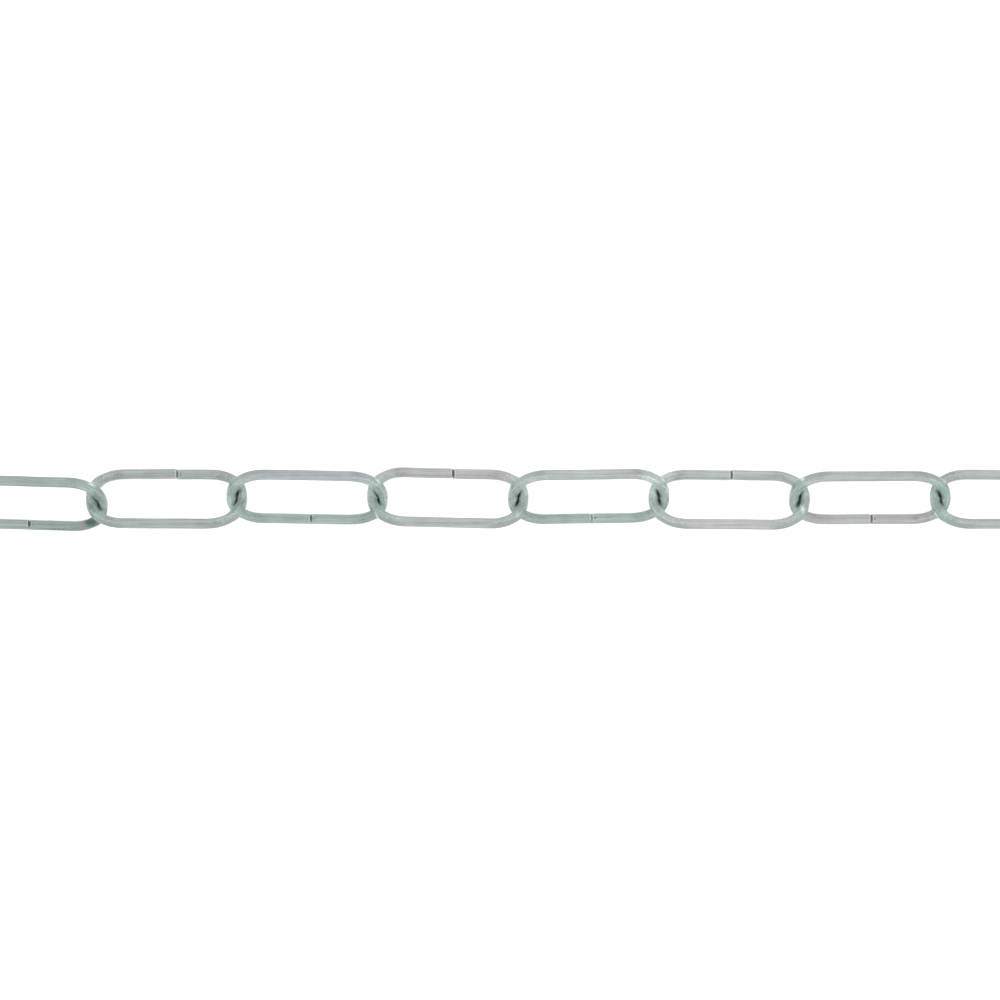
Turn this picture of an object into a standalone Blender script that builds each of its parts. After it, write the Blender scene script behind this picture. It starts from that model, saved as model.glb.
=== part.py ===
# Open-link steel chain: a two foot length, laid out straight on a level floor.
# Every link is one piece of drawn wire, bent to a long oval and butted in the middle of one side, not welded.
# Neighbours cross at right angles. Each link leans 45 degrees, so one of its long sides lies on the floor.
# X runs along the chain, Z is up, and the origin is under the middle of the run, on the floor.

import math

import bpy
from mathutils import Euler, Matrix, Vector

mm = 0.001

# Wire: square with its corners rolled off
wire_width = 3.2 * mm
wire_across_corners = 3.3 * mm

# One link, measured over its outside
link_length = 54.0 * mm
link_width = 25.0 * mm
butt_gap = 0.5 * mm
bend_steps = 15  # an odd number, so that the middle of each bend has a flat to bear on

# The run of links
link_count = 13
middle_link = 7
pitch = 47.2 * mm
lean = math.radians(45)

# How each link lies: sideways shift in mm, turn on the floor in degrees, butt joint off centre in mm
lay = {
    1: (0.0, 0.0, 1.0),
    2: (0.2, 0.3, 0.7),
    3: (-0.7, -0.9, 1.2),
    4: (-1.6, -1.6, 0.1),
    5: (-0.1, -0.3, 3.0),
    6: (0.4, -0.8, 1.0),
    7: (0.2, -1.5, 1.4),
    8: (0.6, 0.9, 1.0),
    9: (-0.4, -0.4, 1.0),
    10: (0.2, 0.1, 1.0),
    11: (-0.2, 0.3, 0.8),
    12: (0.3, 0.2, 1.3),
    13: (0.0, 0.0, 0.9),
}

steel_colour = (0.52, 0.56, 0.54, 1.0)
steel_roughness = 0.38

half_wire = wire_width / 2
bend_radius = link_width / 2 - half_wire
straight_half = link_length / 2 - half_wire - bend_radius
side_height = wire_across_corners / 2
link_height = side_height + bend_radius * math.sin(lean)
hook_reach = link_length / 2 - half_wire
half_flat = wire_across_corners / math.sqrt(2) - half_wire


def clear_scene():
    for obj in list(bpy.data.objects):
        bpy.data.objects.remove(obj, do_unlink=True)


def new_collection(name):
    collection = bpy.data.collections.new(name)
    bpy.context.scene.collection.children.link(collection)
    return collection


def zinc_steel():
    material = bpy.data.materials.new("zinc_steel")
    material.use_nodes = True
    shader = material.node_tree.nodes["Principled BSDF"]
    shader.inputs["Base Color"].default_value = steel_colour
    shader.inputs["Metallic"].default_value = 1.0
    shader.inputs["Roughness"].default_value = steel_roughness
    return material


def poly_curve(name, points, closed):
    curve = bpy.data.curves.new(name, "CURVE")
    curve.dimensions = "3D"
    spline = curve.splines.new("POLY")
    spline.points.add(len(points) - 1)
    for place, (x, y) in zip(spline.points, points):
        place.co = (x, y, 0.0, 1.0)
    spline.use_cyclic_u = closed
    return curve


def wire_section(collection):
    """The outline of the wire, an octagon with four long flats and four short ones."""
    quarter = [(half_wire, half_flat), (half_wire, -half_flat)]
    points = []
    for turn in range(4):
        across = Matrix.Rotation(-turn * math.pi / 2, 2)
        points += [tuple(across @ Vector(point)) for point in quarter]
    section = bpy.data.objects.new("wire_section", poly_curve("wire_section", points, True))
    section.hide_render = True
    section.display_type = "WIRE"
    collection.objects.link(section)
    return section


def link_route(butt_offset):
    """The middle line of the wire, from one cut end round the whole link to the other."""
    points = [(butt_offset + butt_gap / 2, -bend_radius)]
    for end in (1, -1):
        for step in range(bend_steps + 1):
            angle = math.pi * (step / bend_steps - 0.5)
            x = straight_half + bend_radius * math.cos(angle)
            y = bend_radius * math.sin(angle)
            points.append((end * x, end * y))
    points.append((butt_offset - butt_gap / 2, -bend_radius))
    return points


def link_lean(number):
    """Odd links rest on their +Y side and even links on their -Y side. The butt joint is in the side that rests."""
    return math.pi - lean if number % 2 else lean


def end_of(number, end):
    """How far sideways the middle of a link's bend lies; end is 1 for the +X bend and -1 for the other."""
    sideways, turn, _ = lay[number]
    return sideways * mm + end * hook_reach * math.sin(math.radians(turn))


def depth_of_curve(off_middle):
    """How far the inner side of a bend has curved away at this distance from its middle."""
    inner_radius = bend_radius - half_wire
    return inner_radius - math.sqrt(inner_radius**2 - off_middle**2)


def step_to_next(number):
    """Two bends that cross off their middles lie closer by the depth of both curves, out to the edge of the wire's flat."""
    off_middle = abs(end_of(number, 1) - end_of(number + 1, -1)) * math.sin(lean)
    return pitch - 2 * (depth_of_curve(off_middle + half_flat) - depth_of_curve(half_flat))


def places_along():
    """The X of each link's middle, with the whole run centred on the origin."""
    places = {1: 0.0}
    for number in range(1, link_count):
        places[number + 1] = places[number] + step_to_next(number)
    middle = places[link_count] / 2
    return {number: place - middle for number, place in places.items()}


def make_link(number, place, section, material, collection):
    sideways, turn, butt_offset = lay[number]
    name = f"link_{number:02d}"
    curve = poly_curve(name, link_route(butt_offset * mm), False)
    curve.twist_mode = "Z_UP"
    curve.bevel_mode = "OBJECT"
    curve.bevel_object = section
    curve.use_fill_caps = True
    curve.materials.append(material)
    link = bpy.data.objects.new(name, curve)
    link.rotation_mode = "XYZ"
    link.rotation_euler = Euler((link_lean(number), 0.0, math.radians(turn)))
    link.location = (place, sideways * mm, link_height)
    collection.objects.link(link)
    return link


def centre_sideways(links):
    """Shifts the whole run so that its box is centred over the origin."""
    bpy.context.view_layer.update()
    graph = bpy.context.evaluated_depsgraph_get()
    reach = []
    for link in links.values():
        evaluated = link.evaluated_get(graph)
        mesh = evaluated.to_mesh()
        reach += [(evaluated.matrix_world @ vertex.co).y for vertex in mesh.vertices]
        evaluated.to_mesh_clear()
    shift = (min(reach) + max(reach)) / 2
    for link in links.values():
        link.location.y -= shift
    bpy.context.view_layer.update()


def hold(child, parent):
    child.parent = parent
    child.matrix_parent_inverse = parent.matrix_world.inverted()


def hang_on_neighbour(links, number, collection):
    """A link swings about the wire that it hangs on: the middle of its inner neighbour's bend."""
    inward = 1 if number < middle_link else -1
    carrier = links[number + inward]
    end = -inward
    bend_middle = Vector((end * hook_reach, 0.0, 0.0))
    pivot = bpy.data.objects.new(f"pivot_{number:02d}", None)
    pivot.empty_display_size = wire_width
    pivot.matrix_world = carrier.matrix_world @ Matrix.Translation(bend_middle)
    collection.objects.link(pivot)
    bpy.context.view_layer.update()
    hold(pivot, carrier)
    hold(links[number], pivot)


def main():
    clear_scene()
    chain = new_collection("open_link_chain")
    guides = new_collection("guides")
    section = wire_section(guides)
    material = zinc_steel()
    links = {n: make_link(n, place, section, material, chain) for n, place in places_along().items()}
    centre_sideways(links)
    for number in links:
        if number != middle_link:
            hang_on_neighbour(links, number, chain)


main()
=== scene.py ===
# A two foot run of open-link steel chain, laid straight on a white floor.
# Each packed link is replaced by a finely modelled one of the same size, which stands in its place and rides
# on its body.
import math

import bpy
import numpy as np
from mathutils import Euler, Matrix, Vector
from mathutils.bvhtree import BVHTree


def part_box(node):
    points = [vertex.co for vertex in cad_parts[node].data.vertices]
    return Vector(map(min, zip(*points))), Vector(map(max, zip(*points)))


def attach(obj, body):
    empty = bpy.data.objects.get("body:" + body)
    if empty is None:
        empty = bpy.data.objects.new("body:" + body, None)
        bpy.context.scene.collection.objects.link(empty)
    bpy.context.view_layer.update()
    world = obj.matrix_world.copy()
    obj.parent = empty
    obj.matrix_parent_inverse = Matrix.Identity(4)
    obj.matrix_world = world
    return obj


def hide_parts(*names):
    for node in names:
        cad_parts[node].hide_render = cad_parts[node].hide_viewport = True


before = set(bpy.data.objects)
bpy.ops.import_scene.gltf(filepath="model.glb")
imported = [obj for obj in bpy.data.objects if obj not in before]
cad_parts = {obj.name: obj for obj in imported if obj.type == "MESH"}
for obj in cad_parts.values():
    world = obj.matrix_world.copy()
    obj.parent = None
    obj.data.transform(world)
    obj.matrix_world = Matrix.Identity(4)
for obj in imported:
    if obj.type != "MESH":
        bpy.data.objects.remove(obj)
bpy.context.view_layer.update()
mm = 0.001
linkCount = len(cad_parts)
print("frame loaded:", linkCount, "links")

# One link, in mm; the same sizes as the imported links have
link = {
    "wire": 3.2,
    "length": 54.0,
    "width": 25.15,
    "lean": 45.0,  # degrees
    "buttGap": 0.14,
    "endReach": 0.12,  # how much further out the ends of a link stand
    "sideBlend": 7.0,  # how far either side of its long axis a link's one side runs over into the other
}

# How each link lies and how it was made.
# turn: degrees on the floor. butt: how far its butt joint is off centre, in mm.
# miss: how far its two cut ends miss each other, in mm.
# closed: how much of its slit is shut on the near side.
# dark: how dark its cut faces are. wider: how much wider than the others it was bent, in mm.
lay = {
    1: {"turn": 0.0, "butt": 1.0, "miss": 0.06, "closed": 0.2, "dark": 0.7, "wider": 0.0},
    2: {"turn": 0.3, "butt": 0.7, "miss": -0.1, "closed": 0.0, "dark": 0.8, "wider": 0.05},
    3: {"turn": -0.9, "butt": 1.2, "miss": 0.12, "closed": 0.4, "dark": 0.7, "wider": -0.05},
    4: {"turn": -1.6, "butt": 0.1, "miss": 0.08, "closed": 0.6, "dark": 1.0, "wider": 0.0},
    5: {"turn": -0.3, "butt": 3.0, "miss": 0.24, "closed": 0.0, "dark": 0.3, "wider": 0.05},
    6: {"turn": -0.8, "butt": 1.0, "miss": -0.06, "closed": 0.9, "dark": 0.6, "wider": 0.0},
    7: {"turn": -1.5, "butt": 1.4, "miss": 0.13, "closed": 0.15, "dark": 0.7, "wider": 0.0},
    8: {"turn": 0.9, "butt": 1.0, "miss": 0.1, "closed": 1.0, "dark": 0.0, "wider": 0.2},
    9: {"turn": -0.4, "butt": 1.0, "miss": -0.08, "closed": 0.1, "dark": 0.55, "wider": 0.0},
    10: {"turn": 0.1, "butt": 1.0, "miss": 0.12, "closed": 0.2, "dark": 0.42, "wider": -0.3},
    11: {"turn": 0.3, "butt": 0.8, "miss": -0.12, "closed": 0.1, "dark": 0.7, "wider": 0.0},
    12: {"turn": 0.2, "butt": 1.3, "miss": 0.1, "closed": 0.5, "dark": 0.8, "wider": 0.05},
    13: {"turn": 0.0, "butt": 0.9, "miss": -0.07, "closed": 0.2, "dark": 0.7, "wider": 0.0},
}


def linkName(number):
    return f"link_{number:02d}"


def linkPlace(number):
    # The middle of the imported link, and the way it leans and turns
    low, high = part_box(linkName(number))
    lean = math.radians(180 - link["lean"] if number % 2 else link["lean"])
    turn = math.radians(lay[number]["turn"])
    return Matrix.Translation((low + high) / 2) @ Euler((lean, 0.0, turn)).to_matrix().to_4x4()


def smoothStep(values, low, high):
    t = np.clip((values - low) / (high - low), 0, 1)
    return t * t * (3 - 2 * t)


def within(values, full, gone):
    # Falls smoothly instead: 1 up to full, and 0 from gone on
    return smoothStep(-values, -gone, -full)


# The middle line of the wire, in mm
line = {
    "fullness": 0.12,  # how much fuller than a half circle a bend is
    "slouch": 0.04,  # how much tighter a bend is on the butted side of its link
    "easing": 0.9,  # how gradually the straight turns into the bend
    "bendFade": 2.0,  # how far either side of a bend's two ends it counts as bent less and less
    "missOver": 9.0,  # the stretch by each cut end that is bent aside, so that the two miss each other
    "missAcross": 0.6,  # how far they miss across the link, for each mm out of its plane
    "bendSamples": 2001,
    "fineStep": 0.02,  # the line is worked out in this step, with some to spare at both ends
    "spare": 6.0,
    "stepStraight": 0.9,  # the mesh has a ring of points at each of these
    "stepBend": 0.45,
}


def bendTurning(radius):
    # How far the wire has turned at each share of a bend's length, and that length
    share = np.linspace(0, 1, line["bendSamples"])
    turned = math.pi * (share - line["fullness"] * np.sin(4 * math.pi * share) / (4 * math.pi))
    turned += line["slouch"] * np.sin(math.pi * share)
    return share, turned, 2 * radius / np.mean(np.sin(turned))


def eased(turning):
    # The same turning, without sudden starts and ends
    step = line["fineStep"]
    width = int(line["easing"] * 3 / step)
    kernel = np.exp(-((np.arange(-width, width + 1) * step / line["easing"]) ** 2) / 2)
    return np.convolve(np.pad(turning, width, mode="edge"), kernel / kernel.sum(), mode="valid")


def wireRoute(number):
    # The line in the link's own plane, from one cut end round to the other, and the stops along it
    own = lay[number]
    radius = (link["width"] - link["wire"] + own["wider"]) / 2
    reach = (link["length"] - link["wire"]) / 2 + link["endReach"]
    share, turned, bendLength = bendTurning(radius)
    advance = np.cumsum(np.cos(turned)) * bendLength / len(share)
    bendStart = reach - advance.max()  # how far along the link the first bend starts, and where it ends
    bendEnd = bendStart + advance[-1]
    startX = own["butt"] + link["buttGap"] / 2
    finishX = own["butt"] - link["buttGap"] / 2
    # How much wire there is up to the start and the end of each bend, and in all
    marks = np.cumsum([0, bendStart - startX, bendLength, 2 * bendEnd, bendLength, bendStart + finishX])
    total = marks[-1]
    step = line["fineStep"]
    fine = np.arange(-line["spare"], total + line["spare"], step)
    turning = np.interp(fine, marks[1] + share * bendLength, turned)
    turning += np.interp(fine, marks[3] + share * bendLength, math.pi - turned[::-1])
    turning = eased(turning)
    x = np.concatenate([[0], np.cumsum(np.cos(turning[:-1]) * step)])
    y = np.concatenate([[0], np.cumsum(np.sin(turning[:-1]) * step)])
    # The line is closed at the butt joint and brought to the link's own length and width
    start, finish = np.searchsorted(fine, [0, total])
    x += startX - x[start]
    x -= (x[finish] - finishX) * (fine - fine[start]) / (fine[finish] - fine[start])
    x = np.where(x > 0, x * reach / x.max(), x * -reach / x.min())
    y = y - y[start]
    y = y * 2 * radius / y.max() - radius
    bentness = np.zeros(len(fine))
    for bendFrom, bendTo in (marks[1:3], marks[3:5]):
        begun = smoothStep(fine, bendFrom - line["bendFade"], bendFrom + line["bendFade"])
        bentness += begun * within(fine, bendTo - line["bendFade"], bendTo + line["bendFade"])
    stops = [0.0]
    while stops[-1] < total:
        bent = np.interp(stops[-1], fine, bentness)
        stops.append(stops[-1] + line["stepStraight"] + (line["stepBend"] - line["stepStraight"]) * bent)
    stops = np.array(stops) * total / stops[-1]
    nearStart = within(stops, 0, line["missOver"])
    nearFinish = smoothStep(stops, total - line["missOver"], total)
    aside = own["miss"] * (nearStart - nearFinish) / 2

    def atStops(values):
        return np.interp(stops, fine, values)

    return {
        "stops": stops,
        "x": atStops(x),
        "y": atStops(y) + aside * line["missAcross"],
        "z": aside,
        "turning": atStops(turning),
        "bentness": atStops(bentness),
        "apexes": [np.interp(angle, turning, fine) for angle in (math.pi / 2, 3 * math.pi / 2)],
    }


# The wire round its middle line
wire = {
    "around": 40,  # points round it
    "flats": 3.1,  # mm from flat to flat, once drawn and rolled
    "squaredness": 2.45,  # 2 is a round wire
    "raisedSquarer": 0.5,  # on the link's raised side
    "pressedSquarer": 6.0,  # in the middle of each bend, where the wire is pressed
    "pressedThinner": 0.03,
    "pressedReach": (6.0, 10.0),  # mm from there: pressed in full up to the first, not at all from the second
    "bendFlatter": 0.05,  # mm off the outer side of a bend
    "bendThicker": 0.015,
    "innerSpread": 1.2,  # how far round the wire its inner side goes
    "seed": 40,
    "fullTurn": 6.28,
    # Slow waves along the wire by which it strays from true: size, and length in mm
    "waves": {
        "twist": (1.5, 47),  # degrees
        "shortTwist": (1.0, 23),
        "bendTwist": (3.0, 31),
        "along": (0.02, 37),  # mm, as the next ones
        "across": (0.03, 29),
        "through": (0.05, 43),
        "shortThrough": (0.03, 19),
    },
}
ringAngles = np.arange(wire["around"]) * 2 * math.pi / wire["around"]


def sweepWire(route, rng):
    # The ring of points at each stop, its middle, which way is outwards, and how far inwards each point lies
    stops, bent = route["stops"], route["bentness"]

    def wave(name):
        size, length = wire["waves"][name]
        return size * np.sin(stops * 2 * math.pi / length + rng.uniform(0, wire["fullTurn"]))

    twist = np.radians(wave("twist") + wave("shortTwist") + bent * wave("bendTwist"))
    x = route["x"] + wave("along")
    y = route["y"] + wave("across")
    z = route["z"] + wave("through") + wave("shortThrough")
    middles = np.stack([x, y, z], axis=-1)
    half = wire["flats"] / 2
    turning = route["turning"][:, None]
    outwards = np.stack([np.sin(turning), -np.cos(turning), np.zeros_like(turning)], axis=-1)
    pressed = sum(within(np.abs(stops - apex), *wire["pressedReach"]) for apex in route["apexes"])
    raised = smoothStep(route["y"], -link["sideBlend"], link["sideBlend"])
    power = wire["squaredness"] + wire["pressedSquarer"] * pressed + wire["raisedSquarer"] * raised
    power = power[:, None]
    spun = ringAngles[None, :] + twist[:, None]
    radial = (np.abs(np.cos(ringAngles)) ** power + np.abs(np.sin(ringAngles)) ** power) ** (-1 / power)
    radial *= half * (1 - wire["pressedThinner"] * pressed[:, None])
    across = radial * np.cos(spun)  # outwards from the link's middle
    through = radial * np.sin(spun)  # square to the link's plane
    inward = np.clip(-across / half * wire["innerSpread"], 0, 1)
    across -= np.clip(across / half, 0, 1) ** 2 * (wire["bendFlatter"] * bent)[:, None]
    through *= 1 + wire["bendThicker"] * bent[:, None]
    points = middles[:, None, :] + across[:, :, None] * outwards
    points[:, :, 2] += through
    return points, middles, outwards, inward


# The seats that two bends have worn into each other where they bear, in mm. The links are numbered from the
# left, and a seat has the lower number of its two.
seat = {
    "gap": 0.06,  # what is left between the two bends
    "hollow": 0.16,  # slope of the hollow that one has worn into the other, above and below its middle
    "slant": 0.2,  # how much the seat is turned about the upright
    # From its middle along the wire: worn, and painted black as shade, in full up to the first, not at all
    # from the second
    "wornReach": (1.3, 3.0),
    "blackReach": (2.6, 5.2),
    "narrowFrom": 3.2,  # away from its middle the painted black stripe of shade gets narrower up to here
    "narrowEnd": 6.0,  # no seat reaches further
    # How far along the chain a seat lies off the middle between its two links. It leaves the outer link room
    # to swing round the inner one.
    "shift": {
        1: 0.07,
        3: 0.12,
        4: 0.12,
        6: 0.14,
        7: -0.2,
        8: -0.22,
        9: -0.18,
        10: -0.2,
        11: -0.16,
        12: -0.19,
    },
    "own": {4: {"slant": -0.35, "stretch": 1.5, "gap": 0.12}},  # worn otherwise, and over a longer stretch
}


def crossing(number, end):
    # How far from the middle of this bend the next link crosses it, and the place in mm between the two
    other = number + end
    if other not in lay:
        return None
    reach = (link["length"] - link["wire"]) / 2 * mm
    mine = linkPlace(number) @ Vector((end * reach, 0, 0))
    theirs = linkPlace(other) @ Vector((-end * reach, 0, 0))
    tilt = math.sin(math.radians(link["lean"]))
    offMiddle = (theirs.y - mine.y) / mm / 2 / tilt * (-1 if number % 2 else 1)
    return offMiddle * end, np.array((mine + theirs) / 2) / mm


def wearSeats(number, route, points, outwards, inward):
    # Moves the points on the inner side of each bend to its seat; where the wire is painted black as shade,
    # and how narrowly
    stops = route["stops"]
    seatShade, narrow = np.zeros(len(stops)), np.zeros(len(stops))
    place = np.array(linkPlace(number))
    for end, apex in zip((1, -1), route["apexes"]):
        found = crossing(number, end)
        if found is None:
            continue
        offMiddle, middle = found
        lower = min(number, number + end)
        own = seat["own"].get(lower, {})
        gap = own.get("gap", seat["gap"])
        slant = own.get("slant", seat["slant"] if lower % 2 else -seat["slant"])
        away = np.abs(stops - apex - offMiddle) / own.get("stretch", 1.0)
        x, y, z = np.moveaxis(points @ place[:3, :3].T + place[:3, 3] / mm - middle, 2, 0)
        seatX = seat["hollow"] * np.abs(z) + slant * y + seat["shift"].get(lower, 0.0)
        free = end * (x - seatX) - gap / 2
        worn = free * inward**2 * within(away, *seat["wornReach"])[:, None]
        points -= worn[:, :, None] * outwards
        seatShade += within(away, *seat["blackReach"])
        narrow += np.clip(away / seat["narrowFrom"], 0, 1) ** 2 * (away < seat["narrowEnd"])
    return seatShade, narrow


# The two cut ends: a painted glint on the rim, a torn bevel and a rough, slightly domed face, in mm
cutEnd = {
    "chamfer": 0.46,  # how far back from its cut face the wire starts to narrow
    "lean": 0.12,  # how much the slit between the ends leans over, as a share of the height
    "skew": 0.03,
    "roughness": 0.012,
    "closedFrom": (0.1, 1.2),  # how far to its near side a slit begins to be shut, and is shut
    "dome": 0.03,
    "face": 0.8,  # rings narrower than this share of the wire are on the face, which a shut slit leaves alone
}


def cutRings():
    # From the wire to the middle of the face: how far back, how wide, how strong the painted glint, and
    # whether it is cut metal
    chamfer = cutEnd["chamfer"]
    return [
        (chamfer + 0.26, 1.0, 0.0, 0),
        (chamfer + 0.1, 1.0, 0.5, 0),
        (chamfer + 0.03, 0.995, 0.7, 0),
        (chamfer - 0.02, 0.98, 0.0, 1),
        (chamfer * 0.5, 0.93, 0.0, 1),
        (0.04, 0.87, 0.0, 1),
        (0.0, 0.82, 0.0, 1),
        (-0.02, 0.5, 0.0, 1),
        (-cutEnd["dome"], 0.2, 0.0, 1),
    ]


def cutCap(number, ring, middle, side, rng):
    # The rings that close one end of the wire, how strong the painted glint on their rim is and how dark
    # their points are, and their hub
    own = lay[number]
    flip = -1 if number % 2 else 1
    upwards = np.array([0, 1, flip]) / math.sqrt(2)
    nearSide = np.array([0, -flip, 1]) / math.sqrt(2)
    skew = rng.uniform(-cutEnd["skew"], cutEnd["skew"])
    openness = 1 - own["closed"] * smoothStep((ring - middle) @ nearSide, *cutEnd["closedFrom"])
    rings, bright, dark = [], [], []
    for depth, size, rim, isCut in cutRings():
        narrowed = (1 - size) * (openness[:, None] if size > cutEnd["face"] else 1)
        places = middle + (ring - middle) * (1 - narrowed)
        slant = cutEnd["lean"] * ((places - middle) @ upwards) + skew * (places - middle)[:, 2]
        rough = rng.uniform(-cutEnd["roughness"], cutEnd["roughness"], len(ring)) * isCut
        places[:, 0] += side * depth * openness + slant + rough
        rings.append(places)
        bright.append(rim * openness)
        dark.append(isCut * openness * own["dark"])
    hub = middle - np.array([side * cutEnd["dome"], 0, 0])
    return {"rings": rings, "bright": bright, "dark": dark, "hub": hub}


def wireForm(number):
    # The whole wire of one link, ring by ring in mm, and what its plating, painted shade and painted glints
    # need to know
    rng = np.random.default_rng(wire["seed"] + number)
    route = wireRoute(number)
    points, middles, outwards, inward = sweepWire(route, rng)
    seatShade, narrow = wearSeats(number, route, points, outwards, inward)
    start = cutCap(number, points[0], middles[0], 1, rng)
    finish = cutCap(number, points[-1], middles[-1], -1, rng)
    plain = np.zeros((len(points) - 2, wire["around"]))
    return {
        "rings": np.concatenate([start["rings"][::-1], points[1:-1], finish["rings"]]),
        "bright": np.concatenate([start["bright"][::-1], plain, finish["bright"]]),
        "dark": np.concatenate([start["dark"][::-1], plain, finish["dark"]]),
        "hubs": [start["hub"], finish["hub"]],
        "route": route,
        "seatShade": seatShade,
        "narrow": narrow,
    }


def wireMesh(number, form):
    around = wire["around"]
    count = len(form["rings"])
    places = np.concatenate([form["rings"].reshape(-1, 3), form["hubs"]])
    index = np.arange(count * around).reshape(count, around)
    nextOver = np.roll(index, -1, axis=1)
    quads = np.stack([index[:-1], index[1:], nextOver[1:], nextOver[:-1]], axis=-1).reshape(-1, 4)
    firstHub = np.full(around, count * around)
    first = np.stack([index[0], nextOver[0], firstHub], axis=-1)
    last = np.stack([nextOver[-1], index[-1], firstHub + 1], axis=-1)
    mesh = bpy.data.meshes.new(linkName(number) + "_wire")
    mesh.from_pydata((places * mm).tolist(), [], quads.tolist() + first.tolist() + last.tolist())
    mesh.polygons.foreach_set("use_smooth", [True] * len(mesh.polygons))
    return mesh


class Signal:
    # One output of a node, so that shader maths reads as arithmetic
    def __init__(self, tree, output):
        self.tree = tree
        self.output = output

    def maths(self, operation, other):
        return addNode(self.tree, "ShaderNodeMath", {"operation": operation}, {0: self, 1: other})

    def __add__(self, other):
        return self.maths("ADD", other)

    def __sub__(self, other):
        return self.maths("SUBTRACT", other)

    def __rsub__(self, other):
        return addNode(self.tree, "ShaderNodeMath", {"operation": "SUBTRACT"}, {0: other, 1: self})

    def __mul__(self, other):
        return self.maths("MULTIPLY", other)

    __radd__ = __add__
    __rmul__ = __mul__

    def swing(self, size):
        # The rise and fall of a noise about its middle
        return (self - 0.5) * size

    def clamped(self, low, high):
        # Runs smoothly from 0 at low to 1 at high
        settings = {"interpolation_type": "SMOOTHSTEP"}
        sockets = {"Value": self, "From Min": low, "From Max": high}
        return addNode(self.tree, "ShaderNodeMapRange", settings, sockets)


def addNode(tree, kind, settings=None, sockets=None, output=0):
    node = tree.nodes.new(kind)
    for name, value in (settings or {}).items():
        setattr(node, name, value)
    for key, value in (sockets or {}).items():
        if isinstance(value, Signal):
            tree.links.new(value.output, node.inputs[key])
        else:
            node.inputs[key].default_value = value
    return Signal(tree, node.outputs[output])


def readAttribute(tree, name, output="Fac"):
    return addNode(tree, "ShaderNodeAttribute", {"attribute_name": name}, None, output)


def mixColours(tree, share, first, second, blend="MIX"):
    settings = {"data_type": "RGBA", "blend_type": blend}
    return addNode(tree, "ShaderNodeMix", settings, {0: share, 6: first, 7: second}, 2)


def noiseOf(tree, place, scale, detail, roughness, stretch=None):
    if stretch:
        place = addNode(tree, "ShaderNodeVectorMath", {"operation": "MULTIPLY"}, {0: place, 1: stretch})
    sockets = {"Vector": place, "Scale": scale, "Detail": detail, "Roughness": roughness}
    return addNode(tree, "ShaderNodeTexNoise", None, sockets)
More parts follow.
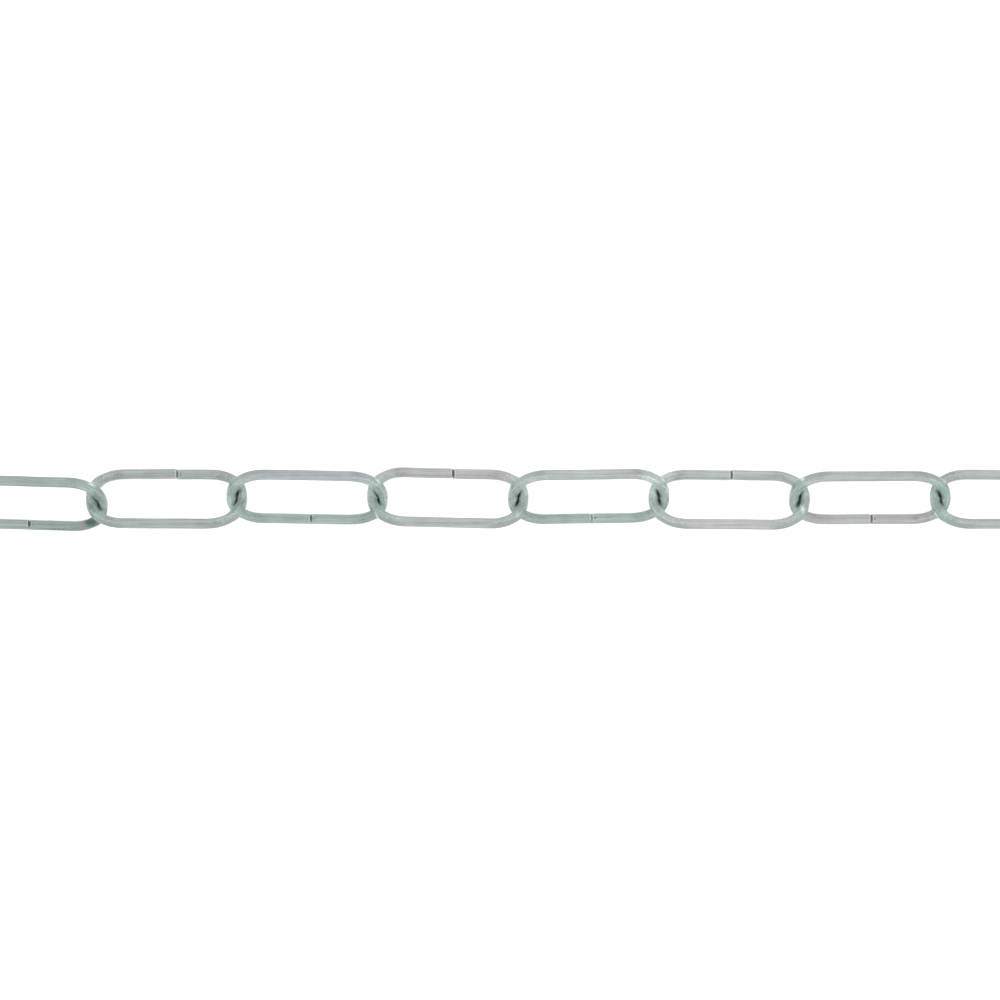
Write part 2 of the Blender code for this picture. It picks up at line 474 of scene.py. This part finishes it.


# Satin zinc plating over drawn wire, with painted light, shade and glints; colours are linear
zinc = {
    # The shades of the plating: red, green and blue. Besides their own tone they carry painted light, lighter
    # towards the right of the chain
    "shades": {
        "plain": (0.32, 0.34, 0.33),
        "violet": (0.32, 0.34, 0.36),
        "grey": (0.34, 0.345, 0.34),
        "green": (0.275, 0.335, 0.325),
        "pale": (0.335, 0.36, 0.355),
        "palest": (0.36, 0.37, 0.365),
        "dull": (0.285, 0.31, 0.305),
        "dark": (0.25, 0.295, 0.285),
        "darkest": (0.24, 0.28, 0.28),
    },
    # The shade of each link's raised side and of its floor side
    "sides": {
        1: ("dull", "dull"),
        2: ("dull", "dull"),
        3: ("dull", "dull"),
        4: ("dark", "darkest"),
        5: ("dull", "dull"),
        6: ("violet", "green"),
        7: ("pale", "grey"),
        8: ("pale", "green"),
        9: ("palest", "pale"),
        10: ("pale", "grey"),
        11: ("plain", "plain"),
        12: ("pale", "plain"),
        13: ("pale", "plain"),
    },
    "greenAtBends": (0.32, 0.41, 0.38, 1),
    "greenFrom": (0.15, 0.8),  # how far the wire has to have turned for it, as a sine
    "greenAt": {4: 1.2, 5: 0.85, 6: 1.1, 7: 0.75, 8: 0.65, 9: 1.0, 10: 1.25},  # more or less at a crossing
    "greenShare": (0.1, 0.85),  # everywhere, and how much more at the bends
    "greenMix": (0.6, 0.4),  # of patches and mottling, and between which sums of these it comes up
    "greenPatches": (0.25, 0.6),
    # The end of each bend on the side that the link rests on is darker and less green
    "restingDarker": 0.085,
    "restingGreyer": 0.6,
    "restingFrom": (3.0, 8.0),  # mm off the link's long axis
    # Painted light and shade round each crossing: how much the metal is lightened or darkened on its far and
    # on its near side
    "paintedLightAt": {
        4: (1.07, 0.91),
        5: (1.0, 1.05),
        6: (1.09, 0.87),
        7: (1.13, 1.0),
        8: (1.28, 1.0),
        9: (1.05, 1.0),
    },
    "lightAlong": (4.0, 7.0),  # mm from the crossing along the chain
    "lightAside": (1.0, 3.0),  # mm from the chain's middle
    # Painted shade along the outer edge of each bend, broken up by the streaks
    "outerEdgeShade": (0.22, 0.26, 0.245, 1),
    "outerEdgeShadeMore": 0.1,  # everywhere, beside what the streaks give
    "outsideFrom": (0.66, 0.86),  # how far outwards a point of the wire has to look, as a cosine
    "blackFrom": (0.4, 0.62),  # how far inwards, for the painted black shade of a seat
    "blackNarrow": 0.4,  # and how much further where that is narrow
    # Painted shade: near black in the crevice where two links bear, and where they nearly touch
    "seatShade": (0.012, 0.026, 0.022, 1),
    "blackShare": 0.92,
    # Painted shade on a wire under its neighbour, broken up by the mottling
    "shadeUnderNeighbour": (0.02, 0.036, 0.031, 1),
    "shadeUnderShare": (0.4, 0.7),  # everywhere, and how much more with the mottling
    "stain": (0.03, 0.085, 0.068, 1),
    "stainMix": (0.5, 0.5, 1.3),  # of stain, mottling and grain, and between which sums of these it comes up
    "stainFrom": (1.14, 1.44),
    "stainShare": 0.95,
    "stainBare": 0.5,  # how much of the metal it covers where it is full
    # Painted glints: at spots on the edges by the crossings
    "paintedGlint": (0.8, 0.84, 0.82, 1),
    "rimGlint": (0.7, 0.72, 0.71, 1),
    "cutFace": (0.075, 0.105, 0.097, 1),
    # Noises in mm of wire: scale, detail, roughness, and the stretch along and round the wire
    "noises": {
        "lines": (1.0, 2.0, 0.6, (0.02, 1.5, 1.5)),
        "fineLines": (1.0, 2.0, 0.5, (0.07, 2.9, 2.9)),
        "patches": (0.22, 3.0, 0.6),
        "streaks": (1.0, 3.0, 0.65, (0.2, 1.9, 1.9)),
        "mottle": (1.0, 3.0, 0.65, (1.3, 2.0, 2.0)),
        "grain": (4.0, 3.0, 0.6),
    },
    "noiseShift": 211.0,  # mm from one link's noise to the next one's
    # How strong each is in the tone, and the last two again in the bends, where the lines are fainter
    "tone": {"lines": 0.86, "fineLines": 0.65, "streaks": 0.9, "patches": 0.3, "mottle": 0.22, "grain": 0.45},
    "bendTone": {"mottle": 0.85, "grain": 0.35},
    "faintLines": 0.4,
    "rough": {"all": 0.52, "lines": 0.2, "mottle": 0.16, "seatShade": 0.2, "cutFace": 0.2, "rim": 0.1},
    "bump": {"fineLines": 0.6, "mottle": 0.16, "bendMottle": 0.64, "grain": 0.2},
    "bumpStrength": 0.4,
    "bumpDepth": 0.00005,
    # Specular of the parts that are not bare metal: the painted shade and the stain
    "shadeAndStainShine": 0.2,
    "coat": 0.5,
    "coatRoughness": 0.12,
}


def zincMaterial():
    material = bpy.data.materials.new("zincPlate")
    material.use_nodes = True
    tree = material.node_tree
    shader = tree.nodes["Principled BSDF"]
    shader.inputs["Specular IOR Level"].default_value = zinc["shadeAndStainShine"]
    shader.inputs["Coat Roughness"].default_value = zinc["coatRoughness"]
    bentness = readAttribute(tree, "bentness")
    # Painted shade: black where the seats bear and where two links nearly touch
    seatShade = readAttribute(tree, "bearing").maths("MAXIMUM", readAttribute(tree, "closeness"))
    shelter = readAttribute(tree, "shelter")
    restingLeg = readAttribute(tree, "restingLeg")
    rim = readAttribute(tree, "rim")
    cutFace = readAttribute(tree, "cutFace")
    place = readAttribute(tree, "wirePlace", "Vector")
    noises = [noiseOf(tree, place, *settings) for settings in zinc["noises"].values()]
    lines, fineLines, patches, streaks, mottle, grain = noises

    tones, bendTones = zinc["tone"], zinc["bendTone"]
    straightness = 1 - bentness * zinc["faintLines"]
    tone = lines.swing(tones["lines"]) * straightness + fineLines.swing(tones["fineLines"]) * straightness
    tone = tone + streaks.swing(tones["streaks"]) * bentness + patches.swing(tones["patches"])
    tone = tone + mottle.swing(bentness * bendTones["mottle"] + tones["mottle"])
    tone = tone + grain.swing(bentness * bendTones["grain"] + tones["grain"]) + 1
    tone = tone * (1 - restingLeg * zinc["restingDarker"])

    greenShare, bendGreen = zinc["greenShare"]
    patchPart, mottlePart = zinc["greenMix"]
    green = (patches * patchPart + mottle * mottlePart).clamped(*zinc["greenPatches"])
    green = green * (readAttribute(tree, "greening") * bendGreen + greenShare)
    green = green * (1 - restingLeg * zinc["restingGreyer"])
    # Painted shade along the outer edge of the bends, streaked
    dull = readAttribute(tree, "outside") * (streaks + zinc["outerEdgeShadeMore"])
    # Painted shade where a neighbour stands above the wire
    shadeUnderShare, mottledShare = zinc["shadeUnderShare"]
    shadeUnderNeighbour = shelter * (mottle * mottledShare + shadeUnderShare)
    stainPart, spotPart, speckPart = zinc["stainMix"]
    stained = readAttribute(tree, "stain") * stainPart + mottle * spotPart + grain * speckPart
    stained = stained.clamped(*zinc["stainFrom"]) * zinc["stainShare"]

    colour = mixColours(tree, green, readAttribute(tree, "tint", "Color"), zinc["greenAtBends"])
    toneColour = addNode(tree, "ShaderNodeCombineXYZ", None, {0: tone, 1: tone, 2: tone})
    colour = mixColours(tree, 1.0, colour, toneColour, "MULTIPLY")
    colour = mixColours(tree, dull, colour, zinc["outerEdgeShade"])
    colour = mixColours(tree, shadeUnderNeighbour, colour, zinc["shadeUnderNeighbour"])
    # Painted light and shade round the crossings
    colour = mixColours(tree, 1.0, colour, readAttribute(tree, "light", "Color"), "MULTIPLY")
    colour = mixColours(tree, stained, colour, zinc["stain"])
    # Painted glints on the rims of the cut ends
    colour = mixColours(tree, rim, colour, zinc["rimGlint"])
    # Painted glints on edges by the crossings
    colour = mixColours(tree, readAttribute(tree, "paintedGlint"), colour, zinc["paintedGlint"])
    colour = mixColours(tree, cutFace, colour, zinc["cutFace"])
    # The painted black shade in the crevices
    colour = mixColours(tree, seatShade * zinc["blackShare"], colour, zinc["seatShade"])

    roughs, bumps = zinc["rough"], zinc["bump"]
    rough = lines.swing(roughs["lines"]) + mottle.swing(roughs["mottle"]) + roughs["all"]
    rough = rough + seatShade * roughs["seatShade"] + cutFace * roughs["cutFace"] - rim * roughs["rim"]
    height = (lines + fineLines * bumps["fineLines"]) * straightness
    height = height + mottle * (bentness * bumps["bendMottle"] + bumps["mottle"]) + grain * bumps["grain"]
    sockets = {"Strength": zinc["bumpStrength"], "Distance": zinc["bumpDepth"], "Height": height}
    bump = addNode(tree, "ShaderNodeBump", None, sockets)
    # Metal and coat only where there is neither painted shade nor stain
    metalOutsideShadeAndStain = (1 - seatShade) * (1 - shelter) * (1 - stained * zinc["stainBare"])
    coat = metalOutsideShadeAndStain * zinc["coat"]
    feeds = {"Base Color": colour, "Metallic": metalOutsideShadeAndStain, "Roughness": rough, "Coat Weight": coat, "Normal": bump}
    for name, signal in feeds.items():
        tree.links.new(signal.output, shader.inputs[name])
    return material


def addAttribute(mesh, name, values, kind="FLOAT", key="value"):
    layer = mesh.attributes.new(name, kind, "POINT")
    layer.data.foreach_set(key, np.ascontiguousarray(values, dtype=np.float32).ravel())


def markWire(mesh, number, form):
    # Where along and round its wire each point is, and what the plating, painted shade and painted glints do
    # there
    route, count = form["route"], len(form["rings"])
    bent = route["bentness"]
    extra = len(cutRings())
    angles = np.concatenate([np.tile(ringAngles, count), [0, 0]])

    def spread(values):
        # From one value for each stop to one for each point; the cut ends have that of the wire beside them
        rings = np.concatenate([np.full(extra, values[0]), values[1:-1], np.full(extra, values[-1])])
        return np.concatenate([np.repeat(rings, wire["around"]), [rings[0], rings[-1]]])

    half = wire["flats"] / 2
    along = spread(route["stops"]) + number * zinc["noiseShift"]
    wirePlace = np.stack([along, np.cos(angles) * half, np.sin(angles) * half], axis=-1)
    addAttribute(mesh, "wirePlace", wirePlace, "FLOAT_VECTOR", "vector")
    addAttribute(mesh, "bentness", spread(bent))
    greenLeft, greenRight = (zinc["greenAt"].get(lower, 1.0) for lower in (number - 1, number))
    curved = smoothStep(np.abs(np.sin(route["turning"])), *zinc["greenFrom"])
    addAttribute(mesh, "greening", spread(curved * np.where(route["x"] < 0, greenLeft, greenRight)))
    addAttribute(mesh, "restingLeg", spread(smoothStep(-route["y"], *zinc["restingFrom"]) * bent))
    # Painted black shade on the inner side of each seat
    inside = -np.cos(angles) - zinc["blackNarrow"] * spread(form["narrow"])
    addAttribute(mesh, "bearing", spread(form["seatShade"]) * smoothStep(inside, *zinc["blackFrom"]))
    # Where the outer edge of a bend gets painted shade
    addAttribute(mesh, "outside", spread(bent) * smoothStep(np.cos(angles), *zinc["outsideFrom"]))
    addAttribute(mesh, "rim", np.concatenate([form["bright"].ravel(), [0, 0]]))
    addAttribute(mesh, "cutFace", np.concatenate([form["dark"].ravel(), [1, 1]]))


def paintSides(mesh, number):
    # One shade of plating runs over into the other between the two sides; the shades carry painted light,
    # lighter towards the right
    raised, resting = (np.array(zinc["shades"][name]) for name in zinc["sides"][number])
    places = np.empty(len(mesh.vertices) * 3, np.float32)
    mesh.vertices.foreach_get("co", places)
    across = places.reshape(-1, 3)[:, 1] / mm
    share = smoothStep(across, -link["sideBlend"], link["sideBlend"])[:, None]
    colours = resting * (1 - share) + raised * share
    addAttribute(mesh, "tint", np.hstack([colours, np.ones_like(share)]), "FLOAT_COLOR", "color")


# Painted shade: black where two links nearly touch, and dark on a wire where its neighbour stands above it
creviceShade = {
    "reach": 7.0,  # mm
    "touching": (0.2, 0.5),  # mm between the two: painted black shade up to the first, none from the second
    "sheltering": (0.6, 2.2),
    "shelterFar": 0.3,  # how much of the painted shade is left further off
    "looks": (-42, -28, -15, -5, 5, 15, 28, 42),  # degrees off straight up, along the chain
    "blockedLooks": 3,  # this many give full shelter
    "onset": 1.5,
    "bentFrom": 0.5,
}


def markCreviceShade(pieces):
    trees = {}
    for number, piece in pieces.items():
        places = [piece.matrix_world @ vertex.co for vertex in piece.data.vertices]
        trees[number] = BVHTree.FromPolygons(places, [tuple(face.vertices) for face in piece.data.polygons])
    slants = [math.radians(angle) for angle in creviceShade["looks"]]
    upwards = [Vector((math.sin(slant), 0, math.cos(slant))) for slant in slants]
    reach = creviceShade["reach"] * mm
    for number, piece in pieces.items():
        count = len(piece.data.vertices)
        bent = np.zeros(count, np.float32)
        piece.data.attributes["bentness"].data.foreach_get("value", bent)
        closeness, shelter = np.zeros(count, np.float32), np.zeros(count, np.float32)
        for index in np.nonzero(bent > creviceShade["bentFrom"])[0]:
            place = piece.matrix_world @ piece.data.vertices[index].co
            for tree in (trees.get(number - 1), trees.get(number + 1)):
                distance = tree.find_nearest(place, reach)[3] if tree else None
                if distance is None:
                    continue
                distance /= mm
                closeness[index] = max(closeness[index], 1 - smoothStep(distance, *creviceShade["touching"]))
                blocked = sum(tree.ray_cast(place, way, reach)[0] is not None for way in upwards)
                near = 1 - (1 - creviceShade["shelterFar"]) * smoothStep(distance, *creviceShade["sheltering"])
                under = min(1, blocked / creviceShade["blockedLooks"]) ** creviceShade["onset"] * near
                shelter[index] = max(shelter[index], under)
        # Painted shade: black where the links nearly touch, darker where a neighbour stands above
        addAttribute(piece.data, "closeness", closeness)
        addAttribute(piece.data, "shelter", shelter)
    print("grime marked at the crossings")


# Where the wire is stained, where it is darker along an edge, and where painted glints sit on its edges:
# link, middle in mm along and across the floor, half length and half width in mm, how much the spot is turned
# in degrees, strength
stains = [
    (4, (-119.9, -7.6), (3.6, 2.4), 0, 1.15),
    # Darker along the outer edge of the bottom bar
    (4, (-130.9, -10.1), (11.0, 0.5), 0, 0.8),
]
# Painted glints on the edges by the crossings
paintedGlints = [
    (4, (-118.7, 5.6), (1.1, 0.26), -28, 0.75),
    (5, (-117.4, -7.1), (1.2, 0.26), -39, 0.8),
    (6, (-23.3, 6.6), (1.1, 0.24), -50, 0.7),
    (7, (-23.7, -5.1), (1.4, 0.26), -70, 0.55),
    (7, (23.1, -4.2), (0.4, 0.9), 0, 0.35),
    (8, (22.9, -4.2), (0.4, 0.9), 0, 0.35),
    (8, (72.0, 7.0), (0.9, 0.35), -45, 0.9),
    (9, (68.6, -5.3), (1.3, 0.26), -57, 0.8),
    (9, (118.2, -2.7), (0.75, 1.1), 0, 0.9),
    (10, (118.0, 7.4), (0.45, 0.4), 0, 0.9),
    (10, (165.5, 6.5), (1.0, 0.3), -55, 0.55),
    (11, (162.6, -4.6), (1.2, 0.26), -63, 0.8),
]


def floorPlaces(piece):
    # The points of a piece in mm, in the chain's own space
    return np.array([piece.matrix_world @ vertex.co for vertex in piece.data.vertices]) / mm


def markSpots(piece, number, name, spots):
    places = floorPlaces(piece)
    values = np.zeros(len(places), np.float32)
    for which, middle, (long, wide), turn, strength in spots:
        if which == number:
            x, y = (places[:, :2] - middle).T
            turned = math.radians(turn)
            along = (x * math.cos(turned) + y * math.sin(turned)) / long
            across = (y * math.cos(turned) - x * math.sin(turned)) / wide
            values = np.maximum(values, strength * np.exp(-(along**2) - across**2))
    addAttribute(piece.data, name, values)


def markPaintedLight(piece, number):
    # Painted light and shade: the metal round a crossing is made a little lighter or darker, on its far and
    # on its near side
    places = floorPlaces(piece)
    values = np.ones(len(places), np.float32)
    for lower, (far, near) in zinc["paintedLightAt"].items():
        if number in (lower, lower + 1):
            middle = (linkPlace(lower).translation.x + linkPlace(lower + 1).translation.x) / 2 / mm
            close = within(np.abs(places[:, 0] - middle), *zinc["lightAlong"])
            values += close * (far - 1) * smoothStep(places[:, 1], *zinc["lightAside"])
            values += close * (near - 1) * smoothStep(-places[:, 1], *zinc["lightAside"])
    addAttribute(piece.data, "light", values)


def buildLinks():
    material = zincMaterial()
    pieces = {}
    for number in range(1, linkCount + 1):
        form = wireForm(number)
        mesh = wireMesh(number, form)
        markWire(mesh, number, form)
        paintSides(mesh, number)
        mesh.materials.append(material)
        piece = bpy.data.objects.new(linkName(number) + "_wire", mesh)
        bpy.context.scene.collection.objects.link(piece)
        piece.matrix_world = linkPlace(number)
        lowest = min((piece.matrix_world @ vertex.co).z for vertex in mesh.vertices)
        piece.matrix_world = Matrix.Translation((0, 0, -lowest)) @ piece.matrix_world
        markSpots(piece, number, "stain", stains)
        # Painted glints on edges by the crossings
        markSpots(piece, number, "paintedGlint", paintedGlints)
        markPaintedLight(piece, number)
        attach(piece, linkName(number))
        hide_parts(linkName(number))
        pieces[number] = piece
    print("links built")
    bpy.context.view_layer.update()
    markCreviceShade(pieces)


# A white translucent sheet on a light table, under a large soft light
studio = {
    "skyHigh": 1.36,  # straight up
    "highFrom": (0.85, 0.98),  # height in the sky, where 1 is straight up
    "skyMiddle": 1.5,
    "middleFrom": (0.1, 0.45),
    "skyLow": 1.42,
    "below": 1.5,  # the light table
    "belowFrom": (0.0, 0.02),
    "sheetWhite": 0.9,
    "sheetSolid": 0.62,  # how much of the sheet's look is its own, and not what shines through it
    "sheetSize": 4.0,
}


def buildStudio():
    size = studio["sheetSize"]
    corners = [(-size, -size, 0), (size, -size, 0), (size, size, 0), (-size, size, 0)]
    mesh = bpy.data.meshes.new("floor")
    mesh.from_pydata(corners, [], [(0, 1, 2, 3)])
    floor = bpy.data.objects.new("floor", mesh)
    bpy.context.scene.collection.objects.link(floor)
    material = bpy.data.materials.new("whiteSheet")
    material.use_nodes = True
    tree = material.node_tree
    sheet = addNode(tree, "ShaderNodeBsdfDiffuse", None, {"Color": (*[studio["sheetWhite"]] * 3, 1)})
    clear = addNode(tree, "ShaderNodeBsdfTransparent", None, {"Color": (1, 1, 1, 1)})
    both = addNode(tree, "ShaderNodeMixShader", None, {0: studio["sheetSolid"], 1: clear, 2: sheet})
    tree.links.new(both.output, tree.nodes["Material Output"].inputs["Surface"])
    mesh.materials.append(material)

    world = bpy.data.worlds.new("softbox")
    bpy.context.scene.world = world
    world.use_nodes = True
    tree = world.node_tree
    direction = addNode(tree, "ShaderNodeTexCoord", None, None, "Generated")
    height = addNode(tree, "ShaderNodeSeparateXYZ", None, {0: direction}, 2)
    middle = height.clamped(*studio["middleFrom"]) * (studio["skyMiddle"] - studio["skyLow"])
    high = height.clamped(*studio["highFrom"]) * (studio["skyHigh"] - studio["skyMiddle"])
    below = (height * -1).clamped(*studio["belowFrom"]) * (studio["below"] - studio["skyLow"])
    strength = studio["skyLow"] + middle + high + below
    background = tree.nodes["Background"]
    tree.links.new(strength.output, background.inputs["Strength"])
    background.inputs["Color"].default_value = (1, 1, 1, 1)
    print("studio built")


view = {
    "target": (17.27, 0.06, 9.4),  # mm
    "tilt": 3.4,  # degrees off straight down, from the far side
    "distance": 1500.0,  # mm
    "lens": 161.44,
    "sensor": 36.0,
    "nearClip": 0.01,
}


def buildCamera():
    data = bpy.data.cameras.new("camera")
    data.lens = view["lens"]
    data.sensor_width = view["sensor"]
    data.clip_start = view["nearClip"]
    camera = bpy.data.objects.new("camera", data)
    bpy.context.scene.collection.objects.link(camera)
    tilt = math.radians(view["tilt"])
    target = Vector(view["target"]) * mm
    camera.location = target + Vector((0, math.sin(tilt), math.cos(tilt))) * view["distance"] * mm
    camera.rotation_euler = Euler((-tilt, 0, 0))
    bpy.context.scene.camera = camera
    bpy.context.scene.view_settings.view_transform = "Standard"
    print("camera set")


buildCamera()
buildLinks()
buildStudio()

bpy.context.view_layer.update()
